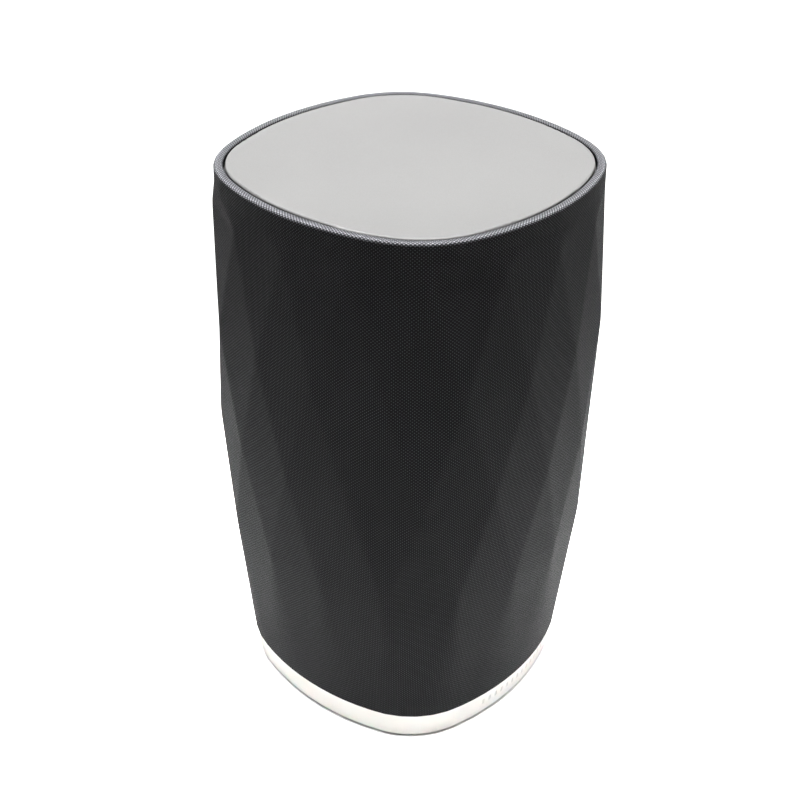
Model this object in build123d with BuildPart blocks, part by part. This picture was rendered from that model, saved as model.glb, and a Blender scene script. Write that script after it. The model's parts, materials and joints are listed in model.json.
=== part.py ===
from build123d import *
import math
import os

# Fabric-covered wireless speaker and home hub, standing on its base.
# Millimetres. +Z is up, the drivers face -Y, and the origin is the centre of the footprint.

# ---------------------------------------------------------------- driving dimensions
HEIGHT = 212.0            # floor to the top of the rim
WIDTH = 130.8             # across the flats at the widest level, before the facets are cut
BULGE_LEVEL = 132.0       # height of the widest level
BULGE_RADIUS = 900.0      # side profile is an arc of this radius
CORNER_STAND = 4.85       # corners reach this much further out than the flats
CORNER_SHARE = 0.60       # corner arc radius over half the width across flats

HEM_LEVEL = 12.0          # cloth and carrier start here, on top of the trim
SHOULDER_LEVEL = 206.0    # facets end here, and the smooth rim starts
RING_LEVELS = (72.0, 114.0, 156.0, 198.0)
NODES_PER_RING = 16
SMOOTH_SIDES = 64         # sides of the hem and shoulder polygons
SHOULDER_INSET = 0.6      # the shoulder stands this far inside the bulged profile
HEM_INSET = 0.35          # and the hem this far
ROLL = ((211.1, 0.7), (211.7, 1.1), (HEIGHT, 1.8))   # rim levels and how far each is drawn in
CLOTH = 0.8               # cloth thickness
CARRIER_WALL = 2.2
RIB = 4.6                 # half a lattice rib, left round each window
WINDOW_SPAN = 80.0        # windows are cut this many degrees each side of the front

TRIM_FOOT = 55.1          # half width of the trim at its lower edge
TRIM_TOP = 55.95          # half width of the trim under the hem
TRIM_LOW = 0.8            # lower edge above the floor
TRIM_FILLET = 0.7
TRIM_CUT = 45.0           # cuts through the trim start this far from the centre
TRIM_REACH = 15.0         # and run this far outward
FLOOR_LOW = 1.2           # underside of the base cover
FLOOR_TOP = 3.0
FOOT_THICK = 2.0
FOOT_GROOVE = 0.8
FOOT_OUT = 51.0           # half widths of the rubber foot's band
FOOT_IN = 44.0
FOOT_GAP = 11.0           # half the opening of the foot at the back

CHASSIS_HALF = 52.3
CHASSIS_WALL = 2.4
NOTCH_TOP = 11.0          # notches in the chassis wall, behind the buttons and over the channel
DECK_LOW = 43.0           # deck of the chassis, which carries the cabinet
DECK_TOP = 46.0
DECK_OPENING = 40.0
CABINET_TOP = 200.0
CABINET_HALF = 55.0
CABINET_WALL = 3.0
CABINET_DECK = 2.4        # floor and roof of the cabinet

BAFFLE_BACK = 25.0        # distances in front of the centre, along -Y
BAFFLE_FRONT = 30.0
GASKET = 0.8
WOOFER_LEVEL = 98.0
TWEETER_LEVEL = 172.5
POD_FRONT = 46.0          # the tweeter stands forward on a pod
POD_RADIUS = 24.2
POD_BORE = 17.3

PLATE_HALF = 57.7         # top plate, half width
PLATE_THICK = 2.5
PLATE_GAP = 0.8           # dark line between the plate and the cloth
PLATE_FILLET = 0.6
PLATE_SKIRT = 12.0        # the block under the plate stands this far inside its edge
PLATE_TAPE = 9.0          # inner edge of the foam tape, from the plate's edge
LEDGE_TOP = 208.6

WELL_X = 27.0             # connector well in the underside
WELL_Y = (9.0, 39.0)
WELL_CEILING = 28.0
WELL_WALL = 2.0
CHANNEL_HALF = 7.5        # way out for the mains lead, at the back
CHANNEL_TOP = 8.0
CHANNEL_END = 51.5
SOCKET_TOP = 41.2         # sockets end at the connector board
SOCKET_Y = 23.0
INLET_X = -14.0
ETHERNET_X = 8.5
USB_X = 22.0
RESET_Y = 33.5

BUTTON_LEVEL = 6.6
BUTTON_HIGH = 4.4
BUTTON_WIDE = 8.0
BUTTON_PROUD = 0.5
BUTTON_ROOM = 0.25        # gap round a button in the trim
BUTTON_LIP = 0.8          # how far the hidden flange stands out round the cap
FLANGE_OUT = 52.1         # half widths that bound the flange
FLANGE_IN = 51.1
BUTTON_TIP = 49.2         # inner end of each button's stem
SWITCH_TIP = 48.6
SWITCH_FACE = 48.0
BOARD_FACE = 45.6
BOARD = 1.6               # circuit board thickness
SWITCH = 4.5              # square body of a press switch
SIDE_BUTTONS = {"volume_down_button": -13.0, "play_button": 0.0, "volume_up_button": 13.0}
PAIRING_X = 17.0
STATUS_X = 24.0
STATUS_R = 1.0
MARK_COUNT = 13           # plain ticks engraved in the front of the trim
MARK_STEP = 3.4
MARK_MIDDLE = 4.5         # middle of the row of ticks
MARK = (1.2, 2.4)
MARK_DEPTH = 0.25

SCREW_R = 1.5
HEAD_R = 2.8
HEAD_H = 2.0
KEY_R = 1.3               # hexagon socket in each head
KEY_DEEP = 1.2
PLAY = 0.05               # radial room round a screw in its boss
FIT = 0.1                 # room round a piece in its opening

os.makedirs("parts", exist_ok=True)


def save(builder, name):
    """Names the finished piece and writes its STEP file."""
    builder.part.label = name
    export_step(builder.part, f"parts/{name}.step")


# ---------------------------------------------------------------- the body's outline
def half_width(level):
    """Half the width across the flats at this height, from the bulged side profile."""
    drop = BULGE_RADIUS - math.sqrt(BULGE_RADIUS**2 - (level - BULGE_LEVEL) ** 2)
    return WIDTH / 2 - drop


def outline_arcs(half):
    """Side arc's centre offset and radius, corner arc's centre and radius, and where they meet."""
    corner = CORNER_SHARE * half
    centre = (half + CORNER_STAND - corner) / math.sqrt(2)
    gap = half - corner
    shift = (gap**2 - 2 * centre**2) / (2 * centre - 2 * gap)
    turn = math.degrees(math.atan2(centre, centre + shift))
    return shift, half + shift, centre, corner, turn


def rounded_square(half):
    """Face in the current sketch: four shallow side arcs joined by four corner arcs."""
    shift, side, centre, corner, turn = outline_arcs(half)
    with BuildLine(Plane.XY) as loop:
        for quarter in range(4):
            angle = 90 * quarter
            c, s = math.cos(math.radians(angle)), math.sin(math.radians(angle))
            CenterArc((-shift * c, -shift * s), side, angle - turn, 2 * turn)
            CenterArc((centre * (c - s), centre * (c + s)), corner, angle + turn, 90 - 2 * turn)
    make_face(loop.edges())


def reach(angle, half):
    """Distance from the centre to the outline in this direction, in degrees from +X."""
    shift, side, centre, corner, turn = outline_arcs(half)
    local = math.radians((angle + 45) % 90 - 45)
    meet_x = -shift + side * math.cos(math.radians(turn))
    meet_y = side * math.sin(math.radians(turn))
    if abs(local) <= math.atan2(meet_y, meet_x):
        return -shift * math.cos(local) + math.sqrt(side**2 - (shift * math.sin(local)) ** 2)
    away = math.pi / 4 - abs(local)
    far = centre * math.sqrt(2)
    return far * math.cos(away) + math.sqrt(corner**2 - (far * math.sin(away)) ** 2)


def ring(level, count, shift, inset):
    """Points round the outline at this height. The first is turned by shift of a step from a corner."""
    half = half_width(level)
    points = []
    for k in range(count):
        angle = 45 + (k + shift) * 360 / count
        r = reach(angle, half) - inset
        points.append((r * math.cos(math.radians(angle)), r * math.sin(math.radians(angle)), level))
    return points


def zip_rings(low, high, turned):
    """Triangles between two rings of equal count. turned: the upper ring is half a step ahead."""
    n = len(low)
    faces = []
    for k in range(n):
        after = (k + 1) % n
        if turned:
            faces += [(low[k], low[after], high[k]), (high[k], low[after], high[after])]
        else:
            faces += [(low[k], low[after], high[after]), (high[k], low[k], high[after])]
    return faces


def fan_rings(coarse, fine, upward):
    """Triangles from a lattice ring to a smooth ring with four times as many points."""
    n = len(coarse)
    faces = []
    for k in range(n):
        after = (k + 1) % n
        f = [fine[(4 * k + i) % len(fine)] for i in range(5)]
        found = [(coarse[k], f[1], f[0]), (coarse[k], f[2], f[1]), (coarse[k], coarse[after], f[2])]
        found += [(coarse[after], f[3], f[2]), (coarse[after], f[4], f[3])]
        faces += found if upward else [t[::-1] for t in found]
    return faces


def lattice(inset):
    """Rings of lattice points, each half a step round from the one below. The top one meets the corners."""
    return [ring(z, NODES_PER_RING, 0.5 * ((i + 1) % 2), inset) for i, z in enumerate(RING_LEVELS)]


def lattice_triangles(inset):
    """Diamond-pattern triangles between the lattice rings."""
    rings = lattice(inset)
    faces = []
    for i in range(len(rings) - 1):
        faces += zip_rings(rings[i], rings[i + 1], turned=i % 2 == 1)
    return faces


def hem_ring(count, shift, inset):
    """Points round the hem, where the cloth turns in above the trim."""
    return ring(HEM_LEVEL, count, shift, inset + HEM_INSET)


def barrel(inset, crown=False, spare=0.0):
    """Closed faceted barrel, inset from the cloth's outer face.

    crown adds the rolled rim, and spare lengthens both ends."""
    rings = lattice(inset)
    hem = hem_ring(SMOOTH_SIDES, SMOOTH_SIDES / NODES_PER_RING / 2, inset)
    shoulder = ring(SHOULDER_LEVEL, SMOOTH_SIDES, 0, inset + SHOULDER_INSET)
    faces = fan_rings(rings[0], hem, upward=False)
    faces += lattice_triangles(inset)
    faces += fan_rings(rings[-1], shoulder, upward=True)
    low, top = hem, shoulder
    if spare:
        low = [(x, y, HEM_LEVEL - spare) for x, y, z in hem]
        faces += zip_rings(low, hem, turned=False)
    if crown:
        for level, drawn_in in ROLL:
            upper = ring(level, SMOOTH_SIDES, 0, inset + drawn_in)
            upper = [(x, y, level - inset) for x, y, z in upper]
            faces += zip_rings(top, upper, turned=False)
            top = upper
    elif spare:
        upper = [(x, y, SHOULDER_LEVEL + spare) for x, y, z in shoulder]
        faces += zip_rings(top, upper, turned=False)
        top = upper
    shell = [Face(Wire.make_polygon(points)) for points in [*faces, low, top]]
    return Solid(Shell(shell))


# ---------------------------------------------------------------- cloth, carrier and rim
def column(half, low, high, mode=Mode.ADD):
    """Upright prism of the rounded square between two heights."""
    with BuildSketch(Plane.XY.offset(low)) as profile:
        rounded_square(half)
    extrude(profile.sketch, amount=high - low, mode=mode)


def make_fabric_cover():
    with BuildPart() as core:
        add(barrel(CLOTH, crown=True))
        column(PLATE_HALF + PLATE_GAP + CLOTH, LEDGE_TOP, HEIGHT, mode=Mode.SUBTRACT)
    with BuildPart() as cover:
        add(barrel(0, crown=True))
        add(barrel(CLOTH, spare=1.0), mode=Mode.SUBTRACT)
        add(core.part, mode=Mode.SUBTRACT)
        column(PLATE_HALF + PLATE_GAP, LEDGE_TOP, HEIGHT + 1, mode=Mode.SUBTRACT)
    save(cover, "fabric_cover")


def foot_triangles(inset):
    """Triangles that hang from the lowest lattice ring to the hem, between its points."""
    low = hem_ring(NODES_PER_RING, 1, inset)
    top = lattice(inset)[0]
    return [(top[k], top[(k + 1) % NODES_PER_RING], low[k]) for k in range(NODES_PER_RING)]


def window_planes():
    """Middle and corners of each triangular window in the front of the carrier."""
    planes = []
    for a, b, c in lattice_triangles(CLOTH) + foot_triangles(CLOTH):
        corners = [Vector(*p) for p in (a, b, c)]
        middle = (corners[0] + corners[1] + corners[2]) * (1 / 3)
        bearing = math.degrees(math.atan2(middle.X, -middle.Y))
        if abs(bearing) < WINDOW_SPAN:
            planes.append((middle, corners))
    return planes


def make_grille_shell():
    with BuildPart() as shell:
        add(barrel(CLOTH))
        add(barrel(CLOTH + CARRIER_WALL, spare=1.0), mode=Mode.SUBTRACT)
        for middle, corners in window_planes():
            normal = (corners[1] - corners[0]).cross(corners[2] - corners[0])
            plane = Plane(origin=middle, x_dir=corners[1] - corners[0], z_dir=normal)
            with BuildSketch(plane):
                Polygon(*[tuple(plane.to_local_coords(p))[:2] for p in corners], align=None)
                offset(amount=-RIB, kind=Kind.INTERSECTION, mode=Mode.REPLACE)
        extrude(amount=2 * CARRIER_WALL, both=True, mode=Mode.SUBTRACT)
    save(shell, "grille_shell")


RING_BOSSES = [(x, y) for x in (-37.0, 37.0) for y in (-37.0, 37.0)]
RING_OPENING = 47.0       # half width of the opening inside the top ring


def make_top_ring():
    with BuildPart() as top_ring:
        add(barrel(CLOTH, crown=True))
        split(bisect_by=Plane.XY.offset(SHOULDER_LEVEL), keep=Keep.TOP)
        column(PLATE_HALF + PLATE_GAP + CLOTH, LEDGE_TOP, HEIGHT, mode=Mode.SUBTRACT)
        column(RING_OPENING, SHOULDER_LEVEL, LEDGE_TOP, mode=Mode.SUBTRACT)
        with BuildSketch(Plane.XY.offset(CABINET_TOP)):
            with Locations(*RING_BOSSES):
                Circle(BOSS)
        extrude(amount=LEDGE_TOP - CABINET_TOP)
        with Locations(*[(x, y, LEDGE_TOP) for x, y in RING_BOSSES]):
            CounterBoreHole(SCREW_R + PLAY, HEAD_R + FIT, HEAD_H + FIT)
    save(top_ring, "top_ring")


def make_top_plate():
    with BuildPart() as plate:
        column(PLATE_HALF, HEIGHT - PLATE_THICK, HEIGHT)
        fillet(plate.edges().group_by(Axis.Z)[-1], PLATE_FILLET)
        column(PLATE_HALF - PLATE_SKIRT, LEDGE_TOP + 0.2, HEIGHT - PLATE_THICK)
    save(plate, "top_plate")


def make_top_plate_gasket():
    with BuildPart() as gasket:
        column(PLATE_HALF - 1.0, LEDGE_TOP, HEIGHT - PLATE_THICK)
        column(PLATE_HALF - PLATE_TAPE, LEDGE_TOP, HEIGHT - PLATE_THICK, mode=Mode.SUBTRACT)
    save(gasket, "top_plate_gasket")


# ---------------------------------------------------------------- screws
def screws(name, places, axis_plane, length):
    """One node of equal screws, with their heads on axis_plane, which faces away from the shanks."""
    with BuildPart() as group:
        for x, y in places:
            with BuildSketch(axis_plane):
                with Locations((x, y)):
                    Circle(SCREW_R)
            extrude(amount=-length)
            with BuildSketch(axis_plane):
                with Locations((x, y)):
                    Circle(HEAD_R)
            extrude(amount=HEAD_H)
            with BuildSketch(axis_plane.offset(HEAD_H)):
                with Locations((x, y)):
                    RegularPolygon(KEY_R, 6)
            extrude(amount=-KEY_DEEP, mode=Mode.SUBTRACT)
    save(group, name)


def front_plane(distance):
    """Vertical plane facing the front, this far ahead of the centre. Local x is +X and local y is +Z."""
    return Plane(origin=(0, -distance, 0), x_dir=(1, 0, 0), z_dir=(0, -1, 0))


# ---------------------------------------------------------------- base
BASE_SCREWS = [(x, y) for x in (-35.5, 35.5) for y in (-35.5, 35.5)]
DECK_SCREWS = [(-36.0, 36.0), (36.0, 36.0), (-45.0, -12.0), (45.0, -12.0)]
BOSS = 5.0                # radius of a screw boss


def side_plane(distance):
    """Vertical plane facing +X. Local x is +Y and local y is +Z."""
    return Plane(origin=(distance, 0, 0), x_dir=(0, 1, 0), z_dir=(1, 0, 0))


def back_plane(distance):
    """Vertical plane facing +Y. Local x is -X and local y is +Z."""
    return Plane(origin=(0, distance, 0), x_dir=(-1, 0, 0), z_dir=(0, 1, 0))


def box(x, y, z, mode=Mode.ADD):
    """Block between two limits along each axis."""
    with BuildSketch(Plane.XY.offset(z[0])) as foot:
        with Locations(((x[0] + x[1]) / 2, (y[0] + y[1]) / 2)):
            Rectangle(x[1] - x[0], y[1] - y[0])
    extrude(foot.sketch, amount=z[1] - z[0], mode=mode)


def posts(places, radius, low, high, mode=Mode.ADD):
    """Round posts or holes between two heights."""
    with BuildSketch(Plane.XY.offset(low)) as rounds:
        with Locations(*places):
            Circle(radius)
    extrude(rounds.sketch, amount=high - low, mode=mode)


def press_profile(plane, where, width, grow):
    """Outline of a button on a vertical plane, grown by a margin all round."""
    with BuildSketch(plane) as profile:
        with Locations((where, BUTTON_LEVEL)):
            if width > BUTTON_HIGH:
                SlotOverall(width + 2 * grow, BUTTON_HIGH + 2 * grow)
            else:
                Circle(BUTTON_HIGH / 2 + grow)
    return profile.sketch


def make_base_trim():
    with BuildPart() as marks:
        with BuildSketch(front_plane(TRIM_CUT)):
            with Locations((MARK_MIDDLE, BUTTON_LEVEL)):
                with GridLocations(MARK_STEP, 1, MARK_COUNT, 1):
                    Rectangle(*MARK)
        extrude(amount=TRIM_REACH)
        column((TRIM_FOOT + TRIM_TOP) / 2 - MARK_DEPTH, 0, HEM_LEVEL, mode=Mode.SUBTRACT)
    with BuildPart() as trim:
        with BuildSketch(Plane.XY.offset(TRIM_LOW)):
            rounded_square(TRIM_FOOT)
        with BuildSketch(Plane.XY.offset(HEM_LEVEL)):
            rounded_square(TRIM_TOP)
        loft(ruled=True)
        fillet(trim.edges().group_by(Axis.Z)[0], TRIM_FILLET)
        column(CHASSIS_HALF + FIT, 0, HEM_LEVEL + 1, mode=Mode.SUBTRACT)
        outward = (TRIM_CUT, TRIM_CUT + TRIM_REACH)
        box((-CHANNEL_HALF, CHANNEL_HALF), outward, (0, CHANNEL_TOP), mode=Mode.SUBTRACT)
        for where in SIDE_BUTTONS.values():
            hole = press_profile(side_plane(TRIM_CUT), where, BUTTON_WIDE, BUTTON_ROOM)
            extrude(hole, amount=TRIM_REACH, mode=Mode.SUBTRACT)
        hole = press_profile(back_plane(TRIM_CUT), -PAIRING_X, BUTTON_HIGH, BUTTON_ROOM)
        extrude(hole, amount=TRIM_REACH, mode=Mode.SUBTRACT)
        with BuildSketch(back_plane(TRIM_CUT)):
            with Locations((-STATUS_X, BUTTON_LEVEL)):
                Circle(STATUS_R + FIT)
        extrude(amount=TRIM_REACH, mode=Mode.SUBTRACT)
        add(marks.part, mode=Mode.SUBTRACT)
    save(trim, "base_trim")


def make_base_chassis():
    inner = CHASSIS_HALF - CHASSIS_WALL
    with BuildPart() as chassis:
        column(CHASSIS_HALF, FLOOR_TOP, DECK_TOP)
        column(inner, FLOOR_TOP, DECK_LOW, mode=Mode.SUBTRACT)
        posts(BASE_SCREWS, BOSS, 2 * FLOOR_TOP, 20)
        column(DECK_OPENING, DECK_LOW, DECK_TOP, mode=Mode.SUBTRACT)
        outward = (TRIM_CUT, TRIM_CUT + TRIM_REACH)
        box(outward, (-20, 20), (0, NOTCH_TOP), mode=Mode.SUBTRACT)
        box((-10.5, 30), outward, (0, NOTCH_TOP), mode=Mode.SUBTRACT)
        posts(BASE_SCREWS, SCREW_R + PLAY, 2 * FLOOR_TOP, 16, mode=Mode.SUBTRACT)
        posts(DECK_SCREWS, SCREW_R + PLAY, DECK_LOW, DECK_TOP, mode=Mode.SUBTRACT)
    save(chassis, "base_chassis")


def make_base_cover():
    well_x = WELL_X + WELL_WALL
    well_y = (WELL_Y[0] - WELL_WALL, WELL_Y[1] + WELL_WALL)
    channel_x = CHANNEL_HALF + WELL_WALL
    with BuildPart() as cover:
        column(CHASSIS_HALF, FLOOR_LOW, FLOOR_TOP)
        box((-well_x, well_x), well_y, (FLOOR_TOP, WELL_CEILING + WELL_WALL))
        box((-channel_x, channel_x), (WELL_Y[1], CHANNEL_END), (FLOOR_TOP, CHANNEL_TOP + WELL_WALL))
        posts(BASE_SCREWS, BOSS - 0.7, FLOOR_TOP, 2 * FLOOR_TOP)
        posts(BOARD_POSTS, 3.0, FLOOR_TOP, POWER_LEVEL)
        for side in (-1, 1):
            x = sorted((side * 31, side * 37))
            box(x, (-1, 5.6), (FLOOR_TOP, 15))
            box((42.4, BOARD_FACE - BOARD), sorted((side * 14, side * 18)), (FLOOR_TOP, 9))
        box((12, 27.5), (42.4, BOARD_FACE - BOARD), (FLOOR_TOP, 9))
        box((-38, 38), (AMPLIFIER_Y - FIT, AMPLIFIER_Y + BOARD + FIT), (6, 15), mode=Mode.SUBTRACT)
        box((-WELL_X, WELL_X), WELL_Y, (0, WELL_CEILING), mode=Mode.SUBTRACT)
        box((-CHANNEL_HALF, CHANNEL_HALF), (WELL_Y[0], 60), (0, CHANNEL_TOP), mode=Mode.SUBTRACT)
        inlet_x = (INLET_X - INLET[0] / 2 - FIT, INLET_X + INLET[0] / 2 + FIT)
        inlet_y = (SOCKET_Y - INLET[1] / 2 - FIT, SOCKET_Y + INLET[1] / 2 + FIT)
        box(inlet_x, inlet_y, (WELL_CEILING, 31), mode=Mode.SUBTRACT)
        jack_x = (ETHERNET_X - JACK[0] / 2 - FIT, ETHERNET_X + JACK[0] / 2 + FIT)
        jack_y = (SOCKET_Y - JACK[1] / 2 - FIT, SOCKET_Y + JACK[1] / 2 + FIT)
        box(jack_x, jack_y, (WELL_CEILING, 31), mode=Mode.SUBTRACT)
        with BuildSketch(Plane.XY.offset(WELL_CEILING)):
            with Locations((USB_X, SOCKET_Y)):
                SlotOverall(USB[0] + 2 * FIT, USB[1] + 2 * FIT)
            with Locations((USB_X, RESET_Y)):
                Circle(RESET_R + 0.3)
        extrude(amount=5, mode=Mode.SUBTRACT)
        cut_foot_groove()
        posts(BASE_SCREWS, SCREW_R + PLAY, 0, 8, mode=Mode.SUBTRACT)
        posts(BASE_SCREWS, HEAD_R + FIT, 0, FLOOR_LOW + FOOT_GROOVE + HEAD_H + FIT, mode=Mode.SUBTRACT)
    save(cover, "base_cover")


def foot_band(out, into):
    """Sketch of the rubber foot: a band of the outline, open at the back for the lead."""
    with BuildSketch() as band:
        rounded_square(out)
    with BuildSketch() as hollow:
        rounded_square(into)
    with BuildSketch() as foot:
        add(band.sketch)
        add(hollow.sketch, mode=Mode.SUBTRACT)
        with Locations((0, out)):
            Rectangle(2 * FOOT_GAP, 2 * (out - into) + 4, mode=Mode.SUBTRACT)
    return foot.sketch


def cut_foot_groove():
    groove = foot_band(FOOT_OUT, FOOT_IN)
    extrude(groove, amount=FLOOR_LOW + FOOT_GROOVE, mode=Mode.SUBTRACT)


def make_rubber_foot():
    with BuildPart() as foot:
        extrude(foot_band(FOOT_OUT - FIT, FOOT_IN + FIT), amount=FOOT_THICK)
        fillet(foot.edges().group_by(Axis.Z)[0], 0.4)
    save(foot, "rubber_foot")


def make_base_screws():
    under = Plane(origin=(0, 0, FOOT_THICK + HEAD_H), x_dir=(1, 0, 0), z_dir=(0, 0, -1))
    screws("base_screws", [(x, -y) for x, y in BASE_SCREWS], under, 11)


def make_deck_screws():
    under = Plane(origin=(0, 0, DECK_LOW), x_dir=(1, 0, 0), z_dir=(0, 0, -1))
    screws("deck_screws", [(x, -y) for x, y in DECK_SCREWS], under, 9)


# ---------------------------------------------------------------- sockets and connector board
INLET = (21.0, 13.0)      # outer section of the mains inlet
INLET_MOUTH = (14.4, 7.8)
PIN_R = 1.19
PIN_STEP = 8.6
JACK = (16.0, 14.0)       # outer section of the network jack
JACK_MOUTH = (11.9, 7.2)
USB = (8.9, 3.2)
RESET_R = 1.2
MOUTH_END = 39.2          # top of the mains and network cavities


def make_ac_inlet():
    with BuildPart() as inlet:
        x = (INLET_X - INLET[0] / 2, INLET_X + INLET[0] / 2)
        y = (SOCKET_Y - INLET[1] / 2, SOCKET_Y + INLET[1] / 2)
        box(x, y, (WELL_CEILING, SOCKET_TOP))
        box((x[0] - 1.5, x[1] + 1.5), (y[0] - 1.5, y[1] + 1.5), (WELL_CEILING + WELL_WALL, 32))
        with BuildSketch(Plane.XY.offset(WELL_CEILING)):
            with Locations((INLET_X, SOCKET_Y)):
                SlotOverall(*INLET_MOUTH)
        extrude(amount=MOUTH_END - WELL_CEILING, mode=Mode.SUBTRACT)
        pins = [(INLET_X + side * PIN_STEP / 2, SOCKET_Y) for side in (-1, 1)]
        posts(pins, PIN_R + PLAY, MOUTH_END, SOCKET_TOP, mode=Mode.SUBTRACT)
    save(inlet, "ac_inlet")
    with BuildPart() as prongs:
        posts(pins, PIN_R, WELL_CEILING + 1.5, SOCKET_TOP)
        fillet(prongs.edges().group_by(Axis.Z)[0], 0.5)
    save(prongs, "inlet_pins")


def make_ethernet_jack():
    mouth_y = (SOCKET_Y - JACK_MOUTH[1] / 2 + 1, SOCKET_Y + JACK_MOUTH[1] / 2 + 1)
    half = JACK_MOUTH[0] / 2
    with BuildPart() as jack:
        y = (SOCKET_Y - JACK[1] / 2, SOCKET_Y + JACK[1] / 2)
        box((ETHERNET_X - JACK[0] / 2, ETHERNET_X + JACK[0] / 2), y, (WELL_CEILING, SOCKET_TOP))
        box((ETHERNET_X - half, ETHERNET_X + half), mouth_y, (WELL_CEILING, MOUTH_END), mode=Mode.SUBTRACT)
        latch_y = (mouth_y[0] - 2.4, mouth_y[0])
        box((ETHERNET_X - 3.2, ETHERNET_X + 3.2), latch_y, (WELL_CEILING, MOUTH_END), mode=Mode.SUBTRACT)
    save(jack, "ethernet_jack")
    with BuildPart() as contacts:
        for k in range(8):
            x = ETHERNET_X + (k - 3.5) * 1.02
            box((x - 0.18, x + 0.18), (mouth_y[1] - 0.7, mouth_y[1]), (WELL_CEILING + 2, MOUTH_END - 1))
    save(contacts, "ethernet_contacts")


def make_usb_port():
    with BuildPart() as port:
        with BuildSketch(Plane.XY.offset(WELL_CEILING)):
            with Locations((USB_X, SOCKET_Y)):
                SlotOverall(*USB)
        extrude(amount=SOCKET_TOP - WELL_CEILING)
        with BuildSketch(Plane.XY.offset(WELL_CEILING)):
            with Locations((USB_X, SOCKET_Y)):
                SlotOverall(USB[0] - 0.6, USB[1] - 0.6)
        extrude(amount=6.5, mode=Mode.SUBTRACT)
        tongue_y = (SOCKET_Y - 0.35, SOCKET_Y + 0.35)
        box((USB_X - 3.3, USB_X + 3.3), tongue_y, (WELL_CEILING + 0.8, SOCKET_TOP))
    save(port, "usb_port")


def make_io_board():
    with BuildPart() as board:
        box((-WELL_X, WELL_X), (10, 37), (SOCKET_TOP, SOCKET_TOP + BOARD))
    save(board, "io_board")


# ---------------------------------------------------------------- buttons
RESET_SWITCH = 35.0       # tip of the reset switch


def make_button(name, plane, outward, where, width):
    """Cap following the trim's curve, with a flange behind the trim and a stem that reaches its switch."""
    with BuildPart() as flange:
        extrude(press_profile(plane(45), where, width, BUTTON_LIP), amount=15)
        with BuildSketch() as limit:
            rounded_square(FLANGE_OUT)
        extrude(limit.sketch, amount=HEM_LEVEL, mode=Mode.INTERSECT)
        column(FLANGE_IN, 0, HEM_LEVEL, mode=Mode.SUBTRACT)
    with BuildPart() as button:
        extrude(press_profile(plane(BUTTON_TIP), where, width, 0), amount=15)
        with BuildSketch() as limit:
            rounded_square(TRIM_TOP - (TRIM_TOP - TRIM_FOOT) / 2 + BUTTON_PROUD)
        extrude(limit.sketch, amount=HEM_LEVEL, mode=Mode.INTERSECT)
        fillet(button.faces().sort_by(outward)[-1].edges(), 0.4)
        extrude(press_profile(plane(BUTTON_TIP + 1.0), where, width, 1.0), amount=-5, mode=Mode.SUBTRACT)
        add(flange.part)
        with BuildSketch(plane(BUTTON_TIP)) as stem:
            with Locations((where, BUTTON_LEVEL)):
                Circle(1.5)
        extrude(stem.sketch, amount=2.5)
    save(button, name)


def make_reset_button():
    with BuildPart() as button:
        posts([(USB_X, RESET_Y)], RESET_R, WELL_CEILING + 0.8, RESET_SWITCH - 0.6)
        posts([(USB_X, RESET_Y)], 2 * RESET_R, WELL_CEILING + WELL_WALL + FIT, WELL_CEILING + WELL_WALL + 1)
    save(button, "reset_button")


def make_switches():
    """Press switches of all five buttons, with their plungers."""
    with BuildPart() as switches:
        spots = [(side_plane, where) for where in SIDE_BUTTONS.values()] + [(back_plane, -PAIRING_X)]
        for plane, where in spots:
            with BuildSketch(plane(BOARD_FACE)) as body:
                with Locations((where, BUTTON_LEVEL)):
                    Rectangle(SWITCH, SWITCH)
            extrude(body.sketch, amount=SWITCH_FACE - BOARD_FACE)
            with BuildSketch(plane(SWITCH_FACE)) as plunger:
                with Locations((where, BUTTON_LEVEL)):
                    Circle(1.0)
            extrude(plunger.sketch, amount=SWITCH_TIP - SWITCH_FACE)
        x = (USB_X - SWITCH / 2, USB_X + SWITCH / 2)
        box(x, (RESET_Y - SWITCH / 2, RESET_Y + SWITCH / 2), (RESET_SWITCH + 0.6, SOCKET_TOP))
        posts([(USB_X, RESET_Y)], 0.9, RESET_SWITCH, RESET_SWITCH + 0.6)
    save(switches, "press_switches")


def make_button_boards():
    with BuildPart() as boards:
        box((BOARD_FACE - BOARD, BOARD_FACE), (-19, 19), (4.2, 11))
        box((11.5, 28), (BOARD_FACE - BOARD, BOARD_FACE), (4.2, 11))
        emitter = (BUTTON_LEVEL - 0.8, BUTTON_LEVEL + 0.8)
        box((STATUS_X - 1, STATUS_X + 1), (BOARD_FACE, BOARD_FACE + 1), emitter)
    save(boards, "button_boards")


def make_status_light():
    with BuildPart() as light:
        with BuildSketch(back_plane(BOARD_FACE + 1.2)) as pipe:
            with Locations((-STATUS_X, BUTTON_LEVEL)):
                Circle(STATUS_R)
        extrude(pipe.sketch, amount=12)
        with BuildSketch() as limit:
            rounded_square((TRIM_TOP + TRIM_FOOT) / 2)
        extrude(limit.sketch, amount=HEM_LEVEL, mode=Mode.INTERSECT)
    save(light, "status_light")


# ---------------------------------------------------------------- electronics
POWER_LEVEL = 9.0
BOARD_POSTS = [(x, y) for x in (-25.0, 25.0) for y in (-38.0, -8.0)]
AMPLIFIER_Y = 1.5
MAIN_LEVEL = 203.0
MAIN_POSTS = [(x, y) for x in (-27.0, 27.0) for y in (-27.0, 27.0)]


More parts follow.
